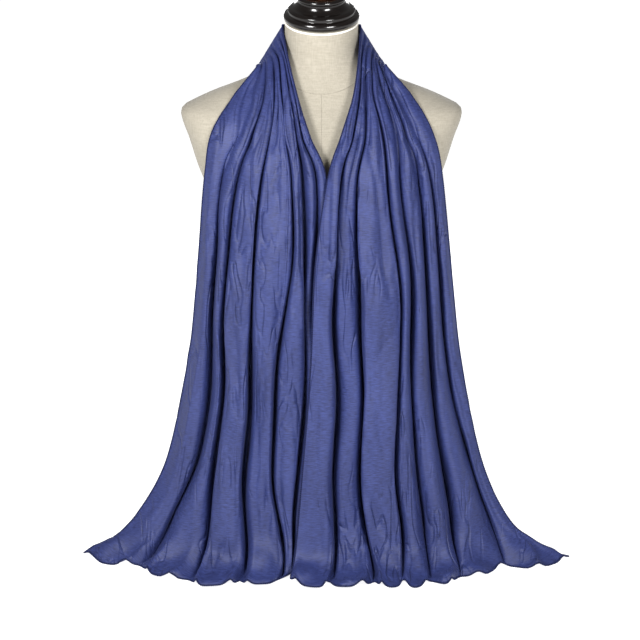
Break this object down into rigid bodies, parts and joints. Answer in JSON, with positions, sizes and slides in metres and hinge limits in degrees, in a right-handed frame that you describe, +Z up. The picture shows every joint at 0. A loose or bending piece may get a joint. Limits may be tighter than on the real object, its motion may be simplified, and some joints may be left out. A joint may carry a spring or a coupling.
{
  "type": "hijab headscarf on a limbless dress form",
  "caption": "Blue viscose jersey headscarf laid round the neck of an ivory linen dress form, its gathered ends hanging down the front onto the table.",
  "frame": {"origin": "centre of the dress form's flat base, on the table", "axes": "+Z up along the form's height, -Y the front where the scarf's ends hang, +X the viewer's right"},
  "size_m": [0.6893, 0.3317, 0.8096],
  "materials": {
    "viscose_jersey": "satin",
    "ivory_linen": "matte",
    "dark_lacquered_wood": "gloss",
    "brown_collar_ring": "satin"
  },
  "bodies": {
    "root": {"form_torso": "ivory_linen", "form_neck_cap": "dark_lacquered_wood", "form_cap_collar": "brown_collar_ring", "form_cap_knob": "dark_lacquered_wood", "scarf_front_left": "viscose_jersey", "scarf_neck_stretch": "viscose_jersey", "scarf_front_right": "viscose_jersey"}
  },
  "joints": []
}
